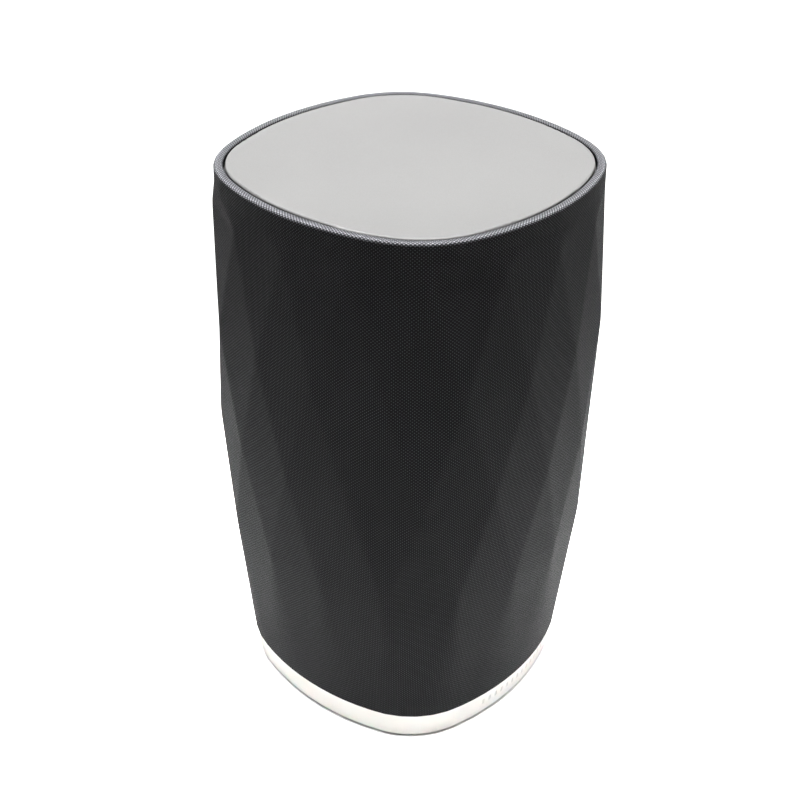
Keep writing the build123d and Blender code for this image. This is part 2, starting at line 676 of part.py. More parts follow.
def make_power_board():
    top = POWER_LEVEL + BOARD
    with BuildPart() as board:
        box((-29, 29), (-42, -4), (POWER_LEVEL, top))
        fillet(board.edges().filter_by(Axis.Z), 3)
    save(board, "power_board")
    with BuildPart() as transformer:
        box((-24, 0), (-34, -12), (top, top + 5))
        box((-24, 0), (-34, -12), (top + 15, top + 20))
        box((-17, -7), (-34, -12), (top + 5, top + 15))
        with BuildSketch(Plane.XY.offset(top + 5)):
            with Locations((-12, -23)):
                RectangleRounded(20, 18, 4)
        extrude(amount=10)
    save(transformer, "transformer")
    with BuildPart() as capacitor:
        posts([(14, -30)], 7.5, top, top + 23)
        fillet(capacitor.edges().group_by(Axis.Z)[-1], 1.2)
        box((6.5, 21.5), (-30.3, -29.7), (top + 22.6, top + 23), mode=Mode.SUBTRACT)
        box((13.7, 14.3), (-37.5, -22.5), (top + 22.6, top + 23), mode=Mode.SUBTRACT)
    save(capacitor, "bulk_capacitor")


def make_amplifier():
    back = AMPLIFIER_Y + BOARD
    with BuildPart() as board:
        box((-33, 33), (AMPLIFIER_Y, back), (2 * FLOOR_TOP + FIT, 38))
    save(board, "amplifier_board")
    with BuildPart() as inductors:
        for x in (-24, -12, 12, 24):
            with BuildSketch(back_plane(back)) as can:
                with Locations((x, 26)):
                    RectangleRounded(9, 9, 1.5)
            extrude(can.sketch, amount=3.4)
    save(inductors, "output_inductors")
    with BuildPart() as heatsink:
        box((-20, 20), (AMPLIFIER_Y - 2, AMPLIFIER_Y), (18, 38))
        for k in range(8):
            x = -18.75 + 5 * k
            box((x, x + 1.2), (AMPLIFIER_Y - 4.5, AMPLIFIER_Y - 2), (18, 38))
    save(heatsink, "amplifier_heatsink")


def make_main_board():
    top = MAIN_LEVEL + BOARD
    with BuildPart() as board:
        box((-31, 31), (-31, 31), (MAIN_LEVEL, top))
        fillet(board.edges().filter_by(Axis.Z), 2)
        box((-4, 4), (20, 25), (top, top + 3))
    save(board, "main_board")
    with BuildPart() as can:
        box((-20, 4), (-18, 6), (top, top + 2.6))
        fillet(can.edges().group_by(Axis.Z)[-1], 0.5)
    save(can, "processor_can")
    with BuildPart() as module:
        box((10, 26), (-22, 0), (top, top + 0.8))
        box((11, 25), (-16, -1), (top + 0.8, top + 2.4))
    save(module, "wireless_module")
    with BuildPart() as antennas:
        for side in (-1, 1):
            box(sorted((side * 39, side * 47)), (-14, 14), (CABINET_TOP + 2, CABINET_TOP + 2.8))
    save(antennas, "antennas")


CABLE_Y = 36.0
CABLE_R = 1.5
CABLE_TOP = 206.3


def make_signal_cable():
    start = (0, CABLE_Y, SOCKET_TOP + BOARD)
    with BuildPart() as cable:
        with BuildLine() as route:
            FilletPolyline(start, (0, CABLE_Y, CABLE_TOP), (0, 25, CABLE_TOP), radius=4)
        with BuildSketch(Plane(origin=start, x_dir=(1, 0, 0), z_dir=(0, 0, 1))):
            Circle(CABLE_R)
        sweep(path=route.line)
    save(cable, "signal_cable")
    with BuildPart() as grommets:
        for low in (DECK_TOP, CABINET_TOP - CABINET_DECK):
            posts([(0, CABLE_Y)], CABLE_R + 1.2, low, low + CABINET_DECK)
        posts([(0, CABLE_Y)], CABLE_R + PLAY, DECK_TOP, CABINET_TOP, mode=Mode.SUBTRACT)
    save(grommets, "cable_grommets")


# ---------------------------------------------------------------- sealed cabinet and baffle
BAFFLE_SCREWS = [(x, z) for x in (-44.0, 44.0) for z in (58.0, 138.0, 189.0)]
BAFFLE_BOSS = 4.5
BEYOND = 70.0             # past every wall, for cuts that run out of the body


def make_cabinet_shell():
    low, high = DECK_TOP + CABINET_DECK, CABINET_TOP - CABINET_DECK
    opening = BAFFLE_BACK - GASKET
    with BuildPart() as cavity:
        column(CABINET_HALF - CABINET_WALL, low, high)
        for x, z in BAFFLE_SCREWS:
            across = sorted((x - math.copysign(BAFFLE_BOSS, x), math.copysign(CABINET_HALF, x)))
            box(across, (-opening, 18 - opening), (z - BAFFLE_BOSS, z + BAFFLE_BOSS), mode=Mode.SUBTRACT)
        posts(DECK_SCREWS, BOSS, low, low + 7, mode=Mode.SUBTRACT)
        posts(RING_BOSSES[1::2], BOSS, high - 7, high, mode=Mode.SUBTRACT)
    with BuildPart() as shell:
        column(CABINET_HALF, DECK_TOP, CABINET_TOP)
        add(cavity.part, mode=Mode.SUBTRACT)
        box((-BEYOND, BEYOND), (-BEYOND, -opening), (low, high), mode=Mode.SUBTRACT)
        with BuildSketch(front_plane(opening)) as holes:
            with Locations(*BAFFLE_SCREWS):
                Circle(SCREW_R + PLAY)
        extrude(holes.sketch, amount=-14, mode=Mode.SUBTRACT)
        posts(DECK_SCREWS, SCREW_R + PLAY, DECK_TOP, low + 5, mode=Mode.SUBTRACT)
        posts(RING_BOSSES, SCREW_R + PLAY, high - 5, CABINET_TOP, mode=Mode.SUBTRACT)
        posts([(0, CABLE_Y)], CABLE_R + 1.2 + PLAY, DECK_TOP, CABINET_TOP, mode=Mode.SUBTRACT)
        posts(MAIN_POSTS, 3.0, CABINET_TOP, MAIN_LEVEL)
        for side in (-1, 1):
            box(sorted((side * 40, side * 46)), (-12, 12), (CABINET_TOP, CABINET_TOP + 2))
    save(shell, "cabinet_shell")


def make_baffle():
    low, high = DECK_TOP + CABINET_DECK + FIT, CABINET_TOP - CABINET_DECK - FIT
    with BuildPart() as baffle:
        column(CABINET_HALF, low, high)
        box((-BEYOND, BEYOND), (-BEYOND, -BAFFLE_FRONT), (low, high), mode=Mode.SUBTRACT)
        box((-BEYOND, BEYOND), (-BAFFLE_BACK, BEYOND), (low, high), mode=Mode.SUBTRACT)
        with BuildSketch(front_plane(BAFFLE_FRONT)) as pod:
            with Locations((0, TWEETER_LEVEL)):
                Circle(POD_RADIUS)
        extrude(pod.sketch, amount=POD_FRONT - BAFFLE_FRONT)
        with BuildSketch(front_plane(BAFFLE_BACK)) as bores:
            with Locations((0, TWEETER_LEVEL)):
                Circle(POD_BORE)
            with Locations((0, WOOFER_LEVEL)):
                Circle(WOOFER_BORE)
            with Locations(*BAFFLE_SCREWS):
                Circle(SCREW_R + PLAY)
            with Locations(*WOOFER_SCREWS):
                Circle(SCREW_R + PLAY)
        extrude(bores.sketch, amount=POD_FRONT - BAFFLE_BACK + 1, mode=Mode.SUBTRACT)
    save(baffle, "baffle")


def make_baffle_gasket():
    low, high = DECK_TOP + CABINET_DECK + FIT, CABINET_TOP - CABINET_DECK - FIT
    rim = CABINET_WALL
    with BuildPart() as gasket:
        column(CABINET_HALF, low, high)
        column(CABINET_HALF - rim, low + rim, high - rim, mode=Mode.SUBTRACT)
        box((-BEYOND, BEYOND), (-BEYOND, -BAFFLE_BACK), (low, high), mode=Mode.SUBTRACT)
        box((-BEYOND, BEYOND), (GASKET - BAFFLE_BACK, BEYOND), (low, high), mode=Mode.SUBTRACT)
    save(gasket, "baffle_gasket")


def make_baffle_screws():
    screws("baffle_screws", BAFFLE_SCREWS, front_plane(BAFFLE_FRONT), 17)


def make_damping_foam():
    with BuildPart() as foam:
        for side in (-1, 1):
            box(sorted((side * 5, side * 29)), (38, 46), (60, 186))
        fillet(foam.edges().filter_by(Axis.Z), 3)
    save(foam, "damping_foam")


# ---------------------------------------------------------------- woofer
WOOFER_BORE = 44.0
WOOFER_SCREW_RING = 46.1
WOOFER_SCREWS = [
    (WOOFER_SCREW_RING * math.cos(turn), WOOFER_LEVEL + WOOFER_SCREW_RING * math.sin(turn))
    for turn in [math.radians(60 * k) for k in range(6)]
]
FLANGE_FRONT = 34.0       # front face of the woofer's flange, which the screws hold
COIL_R = 13.0
FORMER = 0.6
WINDING = 0.6
CONE_REST = 31.5          # front edge of the cone, ahead of the centre
CONE_EDGE = 33.0
CONE_DEPTH = 17.3
CONE_WALL = 0.8
ROLL_IN = 34.8            # half roll of the surround, from the cone to the frame
ROLL_OUT = 40.6
ROLL_HIGH = 3.0
SURROUND_WALL = 0.6
SPIDER_LEVEL = 3.3        # spider's back face, ahead of the centre
SPIDER_OUT = 31.2
SPIDER_WAVES = 4
SPIDER_HIGH = 0.7
POLE_FRONT = -8.0         # front of the motor's pole and front plate
MAGNET_FRONT = -13.0
MAGNET_BACK = -24.0


def turn_profile(level, points):
    """Turns a closed outline about a driver's axis at this height. Points are (radius, distance ahead)."""
    with BuildSketch(Plane(origin=(0, 0, level), x_dir=(1, 0, 0), z_dir=(0, 0, -1))) as half:
        with BuildLine():
            Polyline(*points, close=True)
        make_face()
    revolve(half.sketch, axis=Axis((0, 0, level), (0, -1, 0)))


def spin(name, level, profiles):
    """Round piece of a driver, turned from one or more closed outlines."""
    with BuildPart() as turned:
        for points in profiles:
            turn_profile(level, points)
    save(turned, name)


def ring_profile(inner, outer, back, front):
    return [(inner, back), (outer, back), (outer, front), (inner, front)]


def curve(x_from, x_to, count, height):
    """Points along a curve given as a function of the share from 0 to 1."""
    return [(x_from + (x_to - x_from) * k / count, height(k / count)) for k in range(count + 1)]


def band(x_from, x_to, count, height, thickness):
    """Closed profile of a thin sheet that follows a curve."""
    lower = curve(x_from, x_to, count, height)
    return lower + [(x, y + thickness) for x, y in reversed(lower)]


def make_woofer_frame():
    flange = [(42.8, FLANGE_FRONT), (49, FLANGE_FRONT), (49, BAFFLE_FRONT), (43.6, BAFFLE_FRONT)]
    basket = [(43.6, 23), (33.5, 3), (33.5, -1), (30.5, POLE_FRONT), (15.2, POLE_FRONT)]
    inside = [(15.2, -6), (28.5, -6), (28.5, 2.9), (31.5, 2.9), (40.2, 23), (40.2, 31.4), (42.8, 31.4)]
    with BuildPart() as frame:
        turn_profile(WOOFER_LEVEL, flange + basket + inside)
        with BuildSketch(front_plane(20)) as vents:
            with Locations((0, WOOFER_LEVEL)):
                with PolarLocations(37.2, 6):
                    RectangleRounded(6.4, 24, 2)
        extrude(vents.sketch, amount=-15, mode=Mode.SUBTRACT)
        with BuildSketch(front_plane(BAFFLE_FRONT)) as holes:
            with Locations(*WOOFER_SCREWS):
                Circle(SCREW_R + PLAY)
        extrude(holes.sketch, amount=10, mode=Mode.SUBTRACT)
    save(frame, "woofer_frame")


def dome_profile(radius, edge, rise, thickness):
    """Closed profile of a domed cap whose edge is this far ahead of the centre."""
    angles = [math.pi / 2 * k / 8 for k in range(9)]
    outer = [(radius * math.sin(a), edge + rise * math.cos(a)) for a in angles]
    inner = [((radius - thickness) * math.sin(a), edge + (rise - thickness) * math.cos(a)) for a in angles]
    return outer + inner[::-1]


def cone_height(share):
    """Back face of the cone, from the neck at 0 to the edge at 1, with its slight flare."""
    return CONE_REST - CONE_WALL - CONE_DEPTH * (1 - share) - 2.0 * math.sin(math.pi * share)


def roll_height(share):
    """Back face of the surround's half roll."""
    return CONE_REST + ROLL_HIGH * math.sin(math.pi * share)


def spider_height(share):
    """Back face of the spider, with its ripples."""
    return SPIDER_LEVEL + SPIDER_HIGH * (1 - math.cos(2 * math.pi * SPIDER_WAVES * share)) / 2


def make_woofer_moving_parts():
    former = COIL_R + FORMER
    flare = band(former + FIT, CONE_EDGE, 8, cone_height, CONE_WALL)
    rim = ring_profile(CONE_EDGE, CONE_EDGE + 1.7, CONE_REST - CONE_WALL, CONE_REST)
    spin("woofer_cone", WOOFER_LEVEL, [flare, rim])
    spin("woofer_dust_cap", WOOFER_LEVEL, [dome_profile(16.5, 16.8, 6.5, 0.6)])
    roll = band(ROLL_IN, ROLL_OUT, 10, roll_height, SURROUND_WALL)
    lip_front = CONE_REST + SURROUND_WALL
    outer_lip = ring_profile(ROLL_OUT, ROLL_OUT + 2.0, CONE_REST, lip_front)
    inner_lip = ring_profile(CONE_EDGE, ROLL_IN, CONE_REST, lip_front)
    spin("woofer_surround", WOOFER_LEVEL, [roll, outer_lip, inner_lip])
    spin("woofer_spider", WOOFER_LEVEL, [band(former, SPIDER_OUT, 36, spider_height, 0.4)])
    tube = ring_profile(COIL_R, former, -17, 15)
    wire = ring_profile(former, former + WINDING, -16.5, -4.5)
    spin("voice_coil", WOOFER_LEVEL, [tube, wire])


def make_woofer_motor():
    spin("woofer_front_plate", WOOFER_LEVEL, [ring_profile(14.8, 30, MAGNET_FRONT, POLE_FRONT)])
    spin("woofer_magnet", WOOFER_LEVEL, [ring_profile(20, 34, MAGNET_BACK, MAGNET_FRONT)])
    back = [(4, -30), (30, -30), (31, -29), (31, MAGNET_BACK)]
    pole = [(12.5, MAGNET_BACK), (12.5, POLE_FRONT), (4, POLE_FRONT)]
    spin("woofer_back_plate", WOOFER_LEVEL, [back + pole])


def make_woofer_screws():
    screws("woofer_screws", WOOFER_SCREWS, front_plane(FLANGE_FRONT), 12)


# ---------------------------------------------------------------- tweeter
POT_R = 16.8
POT_FRONT = 45.0
DOME_EDGE = 45.6          # distances in front of the centre
EDGE_BACK = 45.1          # back face of the dome's surround
EDGE_WALL = 0.3


def tweeter_roll_height(share):
    """Back face of the small roll round the dome."""
    return EDGE_BACK + 0.7 * math.sin(math.pi * share)


def make_tweeter():
    seat = [(15.4, 45.7), (17.0, 45.7), (17.0, POD_FRONT), (24, POD_FRONT)]
    horn = [(24, 48.4), (23.4, 49), (18.5, 49)]
    spin("tweeter_faceplate", TWEETER_LEVEL, [seat + horn])
    spin("tweeter_dome", TWEETER_LEVEL, [dome_profile(12.4, DOME_EDGE, 4.2, 0.35)])
    roll = band(12.6, 15.0, 8, tweeter_roll_height, EDGE_WALL)
    lip = ring_profile(15.0, POT_R, EDGE_BACK, EDGE_BACK + EDGE_WALL)
    spin("tweeter_surround", TWEETER_LEVEL, [roll, lip])
    coil = [ring_profile(12.2, 12.45, 38, 45.5), ring_profile(12.45, 12.9, 38, 41.6)]
    spin("tweeter_coil", TWEETER_LEVEL, coil)
    pot = [(0, 27), (POT_R, 27), (POT_R, POT_FRONT), (13.6, POT_FRONT), (13.6, 30), (0, 30)]
    spin("tweeter_pot", TWEETER_LEVEL, [pot])
    magnet = [(0, 30), (10.5, 30), (10.5, 38), (11.6, 38), (11.6, 42), (0, 42)]
    spin("tweeter_magnet", TWEETER_LEVEL, [magnet])


def make_top_ring_screws():
    screws("top_ring_screws", RING_BOSSES, Plane.XY.offset(LEDGE_TOP - HEAD_H - FIT), 10)


def main():
    make_fabric_cover()
    make_grille_shell()
    make_top_ring()
    make_top_plate()
    make_top_plate_gasket()
    make_top_ring_screws()
    make_base_trim()
    make_base_chassis()
    make_base_cover()
    make_rubber_foot()
    make_base_screws()
    make_deck_screws()
    make_ac_inlet()
    make_ethernet_jack()
    make_usb_port()
    make_io_board()
    for name, where in SIDE_BUTTONS.items():
        make_button(name, side_plane, Axis.X, where, BUTTON_WIDE)
    make_button("pairing_button", back_plane, Axis.Y, -PAIRING_X, BUTTON_HIGH)
    make_reset_button()
    make_switches()
    make_button_boards()
    make_status_light()
    make_power_board()
    make_amplifier()
    make_main_board()
    make_signal_cable()
    make_cabinet_shell()
    make_baffle()
    make_baffle_gasket()
    make_baffle_screws()
    make_damping_foam()
    make_woofer_frame()
    make_woofer_moving_parts()
    make_woofer_motor()
    make_woofer_screws()
    make_tweeter()


main()
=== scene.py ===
import json
import math

import bpy
import numpy as np
from mathutils import Matrix, Vector
from mathutils.bvhtree import BVHTree


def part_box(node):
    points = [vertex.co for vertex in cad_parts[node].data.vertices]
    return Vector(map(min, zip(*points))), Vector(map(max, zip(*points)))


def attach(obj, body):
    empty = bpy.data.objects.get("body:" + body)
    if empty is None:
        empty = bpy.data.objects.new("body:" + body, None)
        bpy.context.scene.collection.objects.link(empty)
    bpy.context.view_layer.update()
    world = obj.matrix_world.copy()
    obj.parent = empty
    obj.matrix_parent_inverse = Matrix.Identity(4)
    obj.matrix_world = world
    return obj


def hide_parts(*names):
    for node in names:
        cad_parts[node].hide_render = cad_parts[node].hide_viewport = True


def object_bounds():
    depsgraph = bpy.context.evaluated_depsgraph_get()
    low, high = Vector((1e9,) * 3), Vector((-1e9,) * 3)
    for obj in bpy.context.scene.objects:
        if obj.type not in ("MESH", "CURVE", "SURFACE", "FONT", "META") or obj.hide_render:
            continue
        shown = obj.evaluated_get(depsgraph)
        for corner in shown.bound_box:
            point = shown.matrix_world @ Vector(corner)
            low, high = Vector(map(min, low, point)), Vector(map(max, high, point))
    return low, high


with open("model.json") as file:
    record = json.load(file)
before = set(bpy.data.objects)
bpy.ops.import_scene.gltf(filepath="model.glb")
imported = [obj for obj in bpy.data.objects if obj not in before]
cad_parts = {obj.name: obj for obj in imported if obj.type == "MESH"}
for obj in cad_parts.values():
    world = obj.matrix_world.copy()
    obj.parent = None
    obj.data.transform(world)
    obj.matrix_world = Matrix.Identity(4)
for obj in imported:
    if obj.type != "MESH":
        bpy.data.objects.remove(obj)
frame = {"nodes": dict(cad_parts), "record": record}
cad_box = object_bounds()
nodes = frame["nodes"]
MM = 0.001

# ---------------------------------------------------------------- sizes taken from the frame
cloth_low, cloth_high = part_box("fabric_cover")
HEM = cloth_low[2]
CROWN = cloth_high[2]
PLATE_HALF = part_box("top_plate")[1][0]

# ---------------------------------------------------------------- sizes of the cloth sleeve
COLUMNS = 480               # mesh columns round the barrel
ROW_STEP = 1.02 * MM        # and the height of its rows, up to the shoulder
SHOULDER = CROWN - 6 * MM   # where the facets end and the way over the rim begins
END_GAP = 0.05 * MM         # the first and last level stay this far inside the CAD cover's ends
MEAN_RADIUS = 62.5 * MM
CREASE = 0.6 * MM           # how far the cloth rounds each crease off
SLACK = 0.02 * MM           # height of the shallow waves in the stretched cloth
WAVES_ROUND = 9
WAVE_SWAY = 3.0             # how far the waves sway from side to side up the barrel, in radians of a wave
SWAY_RATE = 60.0            # and how fast, in radians to the metre
HEM_ROWS = 6
HEM_DRAW = 1.1 * MM         # how far the hem rolls in under the cloth
HEM_LEAN = 0.15 * MM        # and this much further, evenly from row to row
HEM_DROP = 0.35 * MM        # how far it rolls down
HEM_RAISE = 0.3 * MM        # and how far the whole roll is lifted clear of the trim
RIM_GAP = 0.8 * MM          # dark line between the plate and the cloth
RIM_LEAN = 0.1 * MM         # the cloth leans in this much below the rim
RIM_BEND = 0.95 * MM        # radius of the rim's outer edge
RIM_LIP = 0.6 * MM          # radius of its inner edge
RIM_FALL = 0.06 * MM        # fall of its flat top towards the plate
RIM_ENDS = (1.4 * MM, 2.4 * MM)     # depths of the last two rows, down in the gap

# ---------------------------------------------------------------- weave and tones of the cloth
YARNS_ROUND = 624           # warp yarns round the barrel
YARN_STEP = 0.58 * MM       # weft pitch up the cloth
YARN_ROUNDNESS = 0.85       # a lower power gives flatter yarns
WEFT_TONE = (0.0014, 0.0014, 0.0016)
WARP_TONE = (0.0202, 0.0204, 0.0218)
CLOTH_SHINE = 0.0395
HOLLOW = (0.05, 0.8)        # from the bottom of a hollow to a yarn's crown
RIM_PAINTED_LIGHT = 5.5              # painted light: the band on top of the rim is made paler, as if lit from above
FOLD_PAINTED_HIGHLIGHT = 3.0             # and its outer fold gets a painted highlight, paler still

# ---------------------------------------------------------------- marks on the trim
TRIM_TONE = (0.85, 0.823, 0.782)
TICK_MIDDLE = 4.5 * MM      # row of engraved ticks in the front of the trim
TICK_STEP = 3.4 * MM
TICK_COUNT = 13
TICK = (1.2 * MM, 2.4 * MM)
TICK_LEVEL = 6.6 * MM
TICK_PAINT = (0.30, 0.295, 0.29)
TICK_COVER = 0.30           # share of the paint that is left in a tick
TRIM_FRONT = -0.05          # all of the trim's front face is in front of this


# ---------------------------------------------------------------- shader helpers
def colour(value):
    return tuple(value) + (1.0,) if len(value) == 3 else tuple(value)


def shade(base, factor):
    return tuple(min(1.0, c * factor) for c in base[:3])


class Shader:
    """A material's node tree, built from small steps."""

    def __init__(self, name):
        self.material = bpy.data.materials.new(name)
        self.material.use_nodes = True
        self.tree = self.material.node_tree
        self.surface = self.tree.nodes["Principled BSDF"]

    def put(self, socket, value):
        if isinstance(value, bpy.types.NodeSocket):
            self.tree.links.new(value, socket)
        else:
            socket.default_value = value

    def node(self, kind, **settings):
        made = self.tree.nodes.new(kind)
        for key, value in settings.items():
            setattr(made, key, value)
        return made

    def fill(self, made, **sockets):
        """Puts values into a node's inputs by name, with underscores for spaces."""
        for key, value in sockets.items():
            self.put(made.inputs[key.replace("_", " ")], value)
        return made

    def set(self, **sockets):
        self.fill(self.surface, **sockets)

    def math(self, operation, a, b=0.0):
        made = self.node("ShaderNodeMath", operation=operation)
        for socket, value in zip(made.inputs, (a, b)):
            self.put(socket, value)
        return made.outputs[0]

    def plus(self, a, b):
        return self.math("ADD", a, b)

    def minus(self, a, b):
        return self.math("SUBTRACT", a, b)

    def times(self, a, b):
        return self.math("MULTIPLY", a, b)

    def within(self, value, reach):
        """1 where value is between -reach and reach, and 0 elsewhere."""
        return self.math("LESS_THAN", self.math("ABSOLUTE", value), reach)

    def span(self, value, low, high, to_low=0.0, to_high=1.0):
        """Turns low..high smoothly into to_low..to_high."""
        made = self.node("ShaderNodeMapRange", interpolation_type="SMOOTHSTEP")
        for socket, given in zip(made.inputs, (value, low, high, to_low, to_high)):
            self.put(socket, given)
        return made.outputs[0]

    def between(self, data_type, kind, share, a, b):
        """A mix node of this data type, whose own two ends and result are sockets of this kind."""
        made = self.fill(self.node("ShaderNodeMix", data_type=data_type), Factor=share)
        ends = [socket for socket in made.inputs if socket.type == kind and socket.name in ("A", "B")]
        for socket, value in zip(ends, (a, b)):
            self.put(socket, value)
        return next(socket for socket in made.outputs if socket.type == kind)

    def mix(self, share, a, b):
        """A colour between a and b."""
        a, b = (v if isinstance(v, bpy.types.NodeSocket) else colour(v) for v in (a, b))
        return self.between("RGBA", "RGBA", share, a, b)

    def pick(self, share, a, b):
        """A number between a and b."""
        return self.between("FLOAT", "VALUE", share, a, b)

    def place(self, scale=(1, 1, 1)):
        """Position in the row frame, in metres, stretched by scale."""
        coordinates = self.node("ShaderNodeTexCoord").outputs["Object"]
        return self.fill(self.node("ShaderNodeMapping"), Scale=scale, Vector=coordinates).outputs[0]

    def split(self, vector):
        made = self.node("ShaderNodeSeparateXYZ")
        self.put(made.inputs[0], vector)
        return made.outputs

    def join(self, x, y, z=0.0):
        made = self.node("ShaderNodeCombineXYZ")
        for socket, value in zip(made.inputs, (x, y, z)):
            self.put(socket, value)
        return made.outputs[0]

    def mark(self, name):
        """A value stored on the mesh's points."""
        return self.node("ShaderNodeAttribute", attribute_name=name).outputs["Fac"]

    def noise(self, vector, scale, detail=2.0, rough=0.5):
        made = self.node("ShaderNodeTexNoise")
        return self.fill(made, Vector=vector, Scale=scale, Detail=detail, Roughness=rough).outputs["Fac"]

    def cells(self, vector, scale):
        made = self.node("ShaderNodeTexVoronoi")
        return self.fill(made, Vector=vector, Scale=scale).outputs["Distance"]

    def bump(self, height, strength, distance):
        made = self.node("ShaderNodeBump")
        return self.fill(made, Height=height, Strength=strength, Distance=distance).outputs["Normal"]


# ---------------------------------------------------------------- materials
def moulded(s, base, rough, grain=0.25, scale=2500.0, depth=0.03, flow_marks=0.05):
    """Moulded plastic with a spark-eroded texture and faint flow marks."""
    where = s.place()
    flow = s.noise(where, 40.0, 3.0)
    fine = s.noise(where, scale, 2.0, 0.6)
    s.set(
        Base_Color=s.mix(s.span(flow, 0.3, 0.7), shade(base, 1 - flow_marks), shade(base, 1 + flow_marks)),
        Roughness=s.span(fine, 0.3, 0.7, rough - 0.06, rough + 0.06),
        Normal=s.bump(fine, grain, depth * MM),
    )


def metal(s, base, rough, stretch=(1, 1, 60), relief=0.15, scale=120.0):
    """Drawn or turned metal with fine directional lines."""
    lines = s.noise(s.place(stretch), scale, 4.0, 0.65)
    stain = s.noise(s.place(), 60.0, 3.0)
    s.set(
        Base_Color=s.mix(s.span(stain, 0.35, 0.7), shade(base, 0.92), base),
        Metallic=1.0,
        Roughness=s.span(lines, 0.3, 0.7, rough - 0.07, rough + 0.09),
        Normal=s.bump(lines, relief, 0.01 * MM),
    )


def rubber(s, base, rough=0.75):
    """Soft black rubber, dull in patches."""
    where = s.place()
    dust = s.noise(where, 900.0, 4.0, 0.7)
    patch = s.noise(where, 70.0, 2.0)
    s.set(
        Base_Color=s.mix(s.span(patch, 0.4, 0.75), base, shade(base, 1.25)),
        Roughness=s.span(dust, 0.3, 0.7, rough - 0.08, rough + 0.08),
        Specular_IOR_Level=0.35,
        Normal=s.bump(dust, 0.2, 0.02 * MM),
    )


def foam(s, base, pores=1400.0, depth=0.25):
    """Open foam or wool, with painted shade down in its pores."""
    where = s.place()
    holes = s.cells(where, pores)
    skin = s.mix(s.noise(where, 90.0, 3.0), shade(base, 0.9), shade(base, 1.1))
    s.set(
        # painted shade down in the pores
        Base_Color=s.mix(s.span(holes, 0.1, 0.6), shade(base, 0.35), skin),
        Roughness=0.95,
        Specular_IOR_Level=0.15,
        Normal=s.bump(holes, 0.6, depth * MM),
    )


def board(s):
    """Solder mask with copper tracks that show through, plated pads and a white legend."""
    x, y, z = s.split(s.place())
    flat = s.join(s.plus(x, z), y)
    tracks = s.fill(
        s.node("ShaderNodeTexBrick", offset=0.5, squash=1.0),
        Vector=flat, Scale=260.0, Mortar_Size=0.035, Mortar_Smooth=0.1, Bias=0.0,
    )
    trace = s.minus(1.0, tracks.outputs["Fac"])
    tone = s.mix(s.times(trace, 0.6), (0.012, 0.11, 0.045), (0.03, 0.22, 0.09))
    round_pads = s.span(s.cells(flat, 420.0), 0.10, 0.14, 1.0, 0.0)
    pads = s.times(round_pads, s.span(s.noise(flat, 90.0), 0.52, 0.56))
    tone = s.mix(pads, tone, (0.72, 0.70, 0.66))
    printed = s.span(s.cells(flat, 160.0), 0.47, 0.5)
    legend = s.times(printed, s.span(s.noise(flat, 50.0), 0.55, 0.57))
    s.set(
        Base_Color=s.mix(legend, tone, (0.75, 0.76, 0.74)),
        Metallic=s.times(pads, 0.8),
        Roughness=s.span(pads, 0.0, 1.0, 0.38, 0.25),
        Coat_Weight=0.3,
        Normal=s.bump(trace, 0.25, 0.03 * MM),
    )


def woven_cone(s):
    """Twill of flat fibre tows under a clear resin."""
    x, _, z = s.split(s.place((1100.0, 1.0, 1100.0)))
    rising = s.math("SINE", s.times(s.plus(x, z), math.pi))
    falling = s.math("SINE", s.times(s.minus(x, z), math.pi))
    tows = s.times(rising, falling)
    twill = s.math("GREATER_THAN", tows, 0.0)
    strand = s.noise(s.place((9000.0, 300.0, 9000.0)), 1.0, 2.0)
    tone = s.mix(twill, (0.035, 0.035, 0.037), (0.11, 0.11, 0.115))
    s.set(
        Base_Color=s.mix(s.times(strand, 0.35), tone, (0.05, 0.05, 0.052)),
        Roughness=s.span(twill, 0.0, 1.0, 0.5, 0.34),
        Coat_Weight=0.25,
        Normal=s.bump(tows, 0.4, 0.05 * MM),
    )


def top_satin(s, base):
    """Even satin plate with a faint cloud and very fine grain."""
    where = s.place()
    cloud = s.noise(where, 22.0, 3.0)
    grain = s.noise(where, 5200.0, 2.0, 0.7)
    s.set(
        Base_Color=s.mix(s.span(cloud, 0.3, 0.7), shade(base, 0.97), shade(base, 1.03)),
        Metallic=0.0,
        Roughness=s.span(grain, 0.3, 0.7, 0.48, 0.60),
        Specular_IOR_Level=0.2,
        Normal=s.bump(grain, 0.12, 0.01 * MM),
    )


def trim_ticks(s, where):
    """1 in the engraved ticks, which stand in a row in the front of the trim."""
    x, y, z = s.split(where)
    along = s.minus(x, TICK_MIDDLE)
    left_of_trim = 30.5 * TICK_STEP     # keeps the modulo's input above zero
    wrapped = s.math("MODULO", s.plus(along, left_of_trim), TICK_STEP)
    in_tick = s.within(s.minus(wrapped, TICK_STEP / 2), TICK[0] / 2)
    in_row = s.within(s.minus(z, TICK_LEVEL), TICK[1] / 2)
    in_span = s.within(along, TICK_COUNT * TICK_STEP / 2)
    front = s.math("LESS_THAN", y, TRIM_FRONT)
    return s.times(s.times(in_tick, in_row), s.times(in_span, front))


def trim_white(s, base):
    """Warm white moulding, with grey paint in the engraved ticks."""
    where = s.place()
    grain = s.noise(where, 3200.0, 2.0, 0.6)
    cloud = s.noise(where, 30.0, 2.0)
    tone = s.mix(s.span(cloud, 0.3, 0.7), shade(base, 0.985), shade(base, 1.01))
    s.set(
        Base_Color=s.mix(s.times(trim_ticks(s, where), TICK_COVER), tone, TICK_PAINT),
        Roughness=s.span(grain, 0.3, 0.7, 0.42, 0.52),
        Normal=s.bump(grain, 0.1, 0.01 * MM),
        Subsurface_Weight=0.05,
        Subsurface_Scale=0.002,
    )


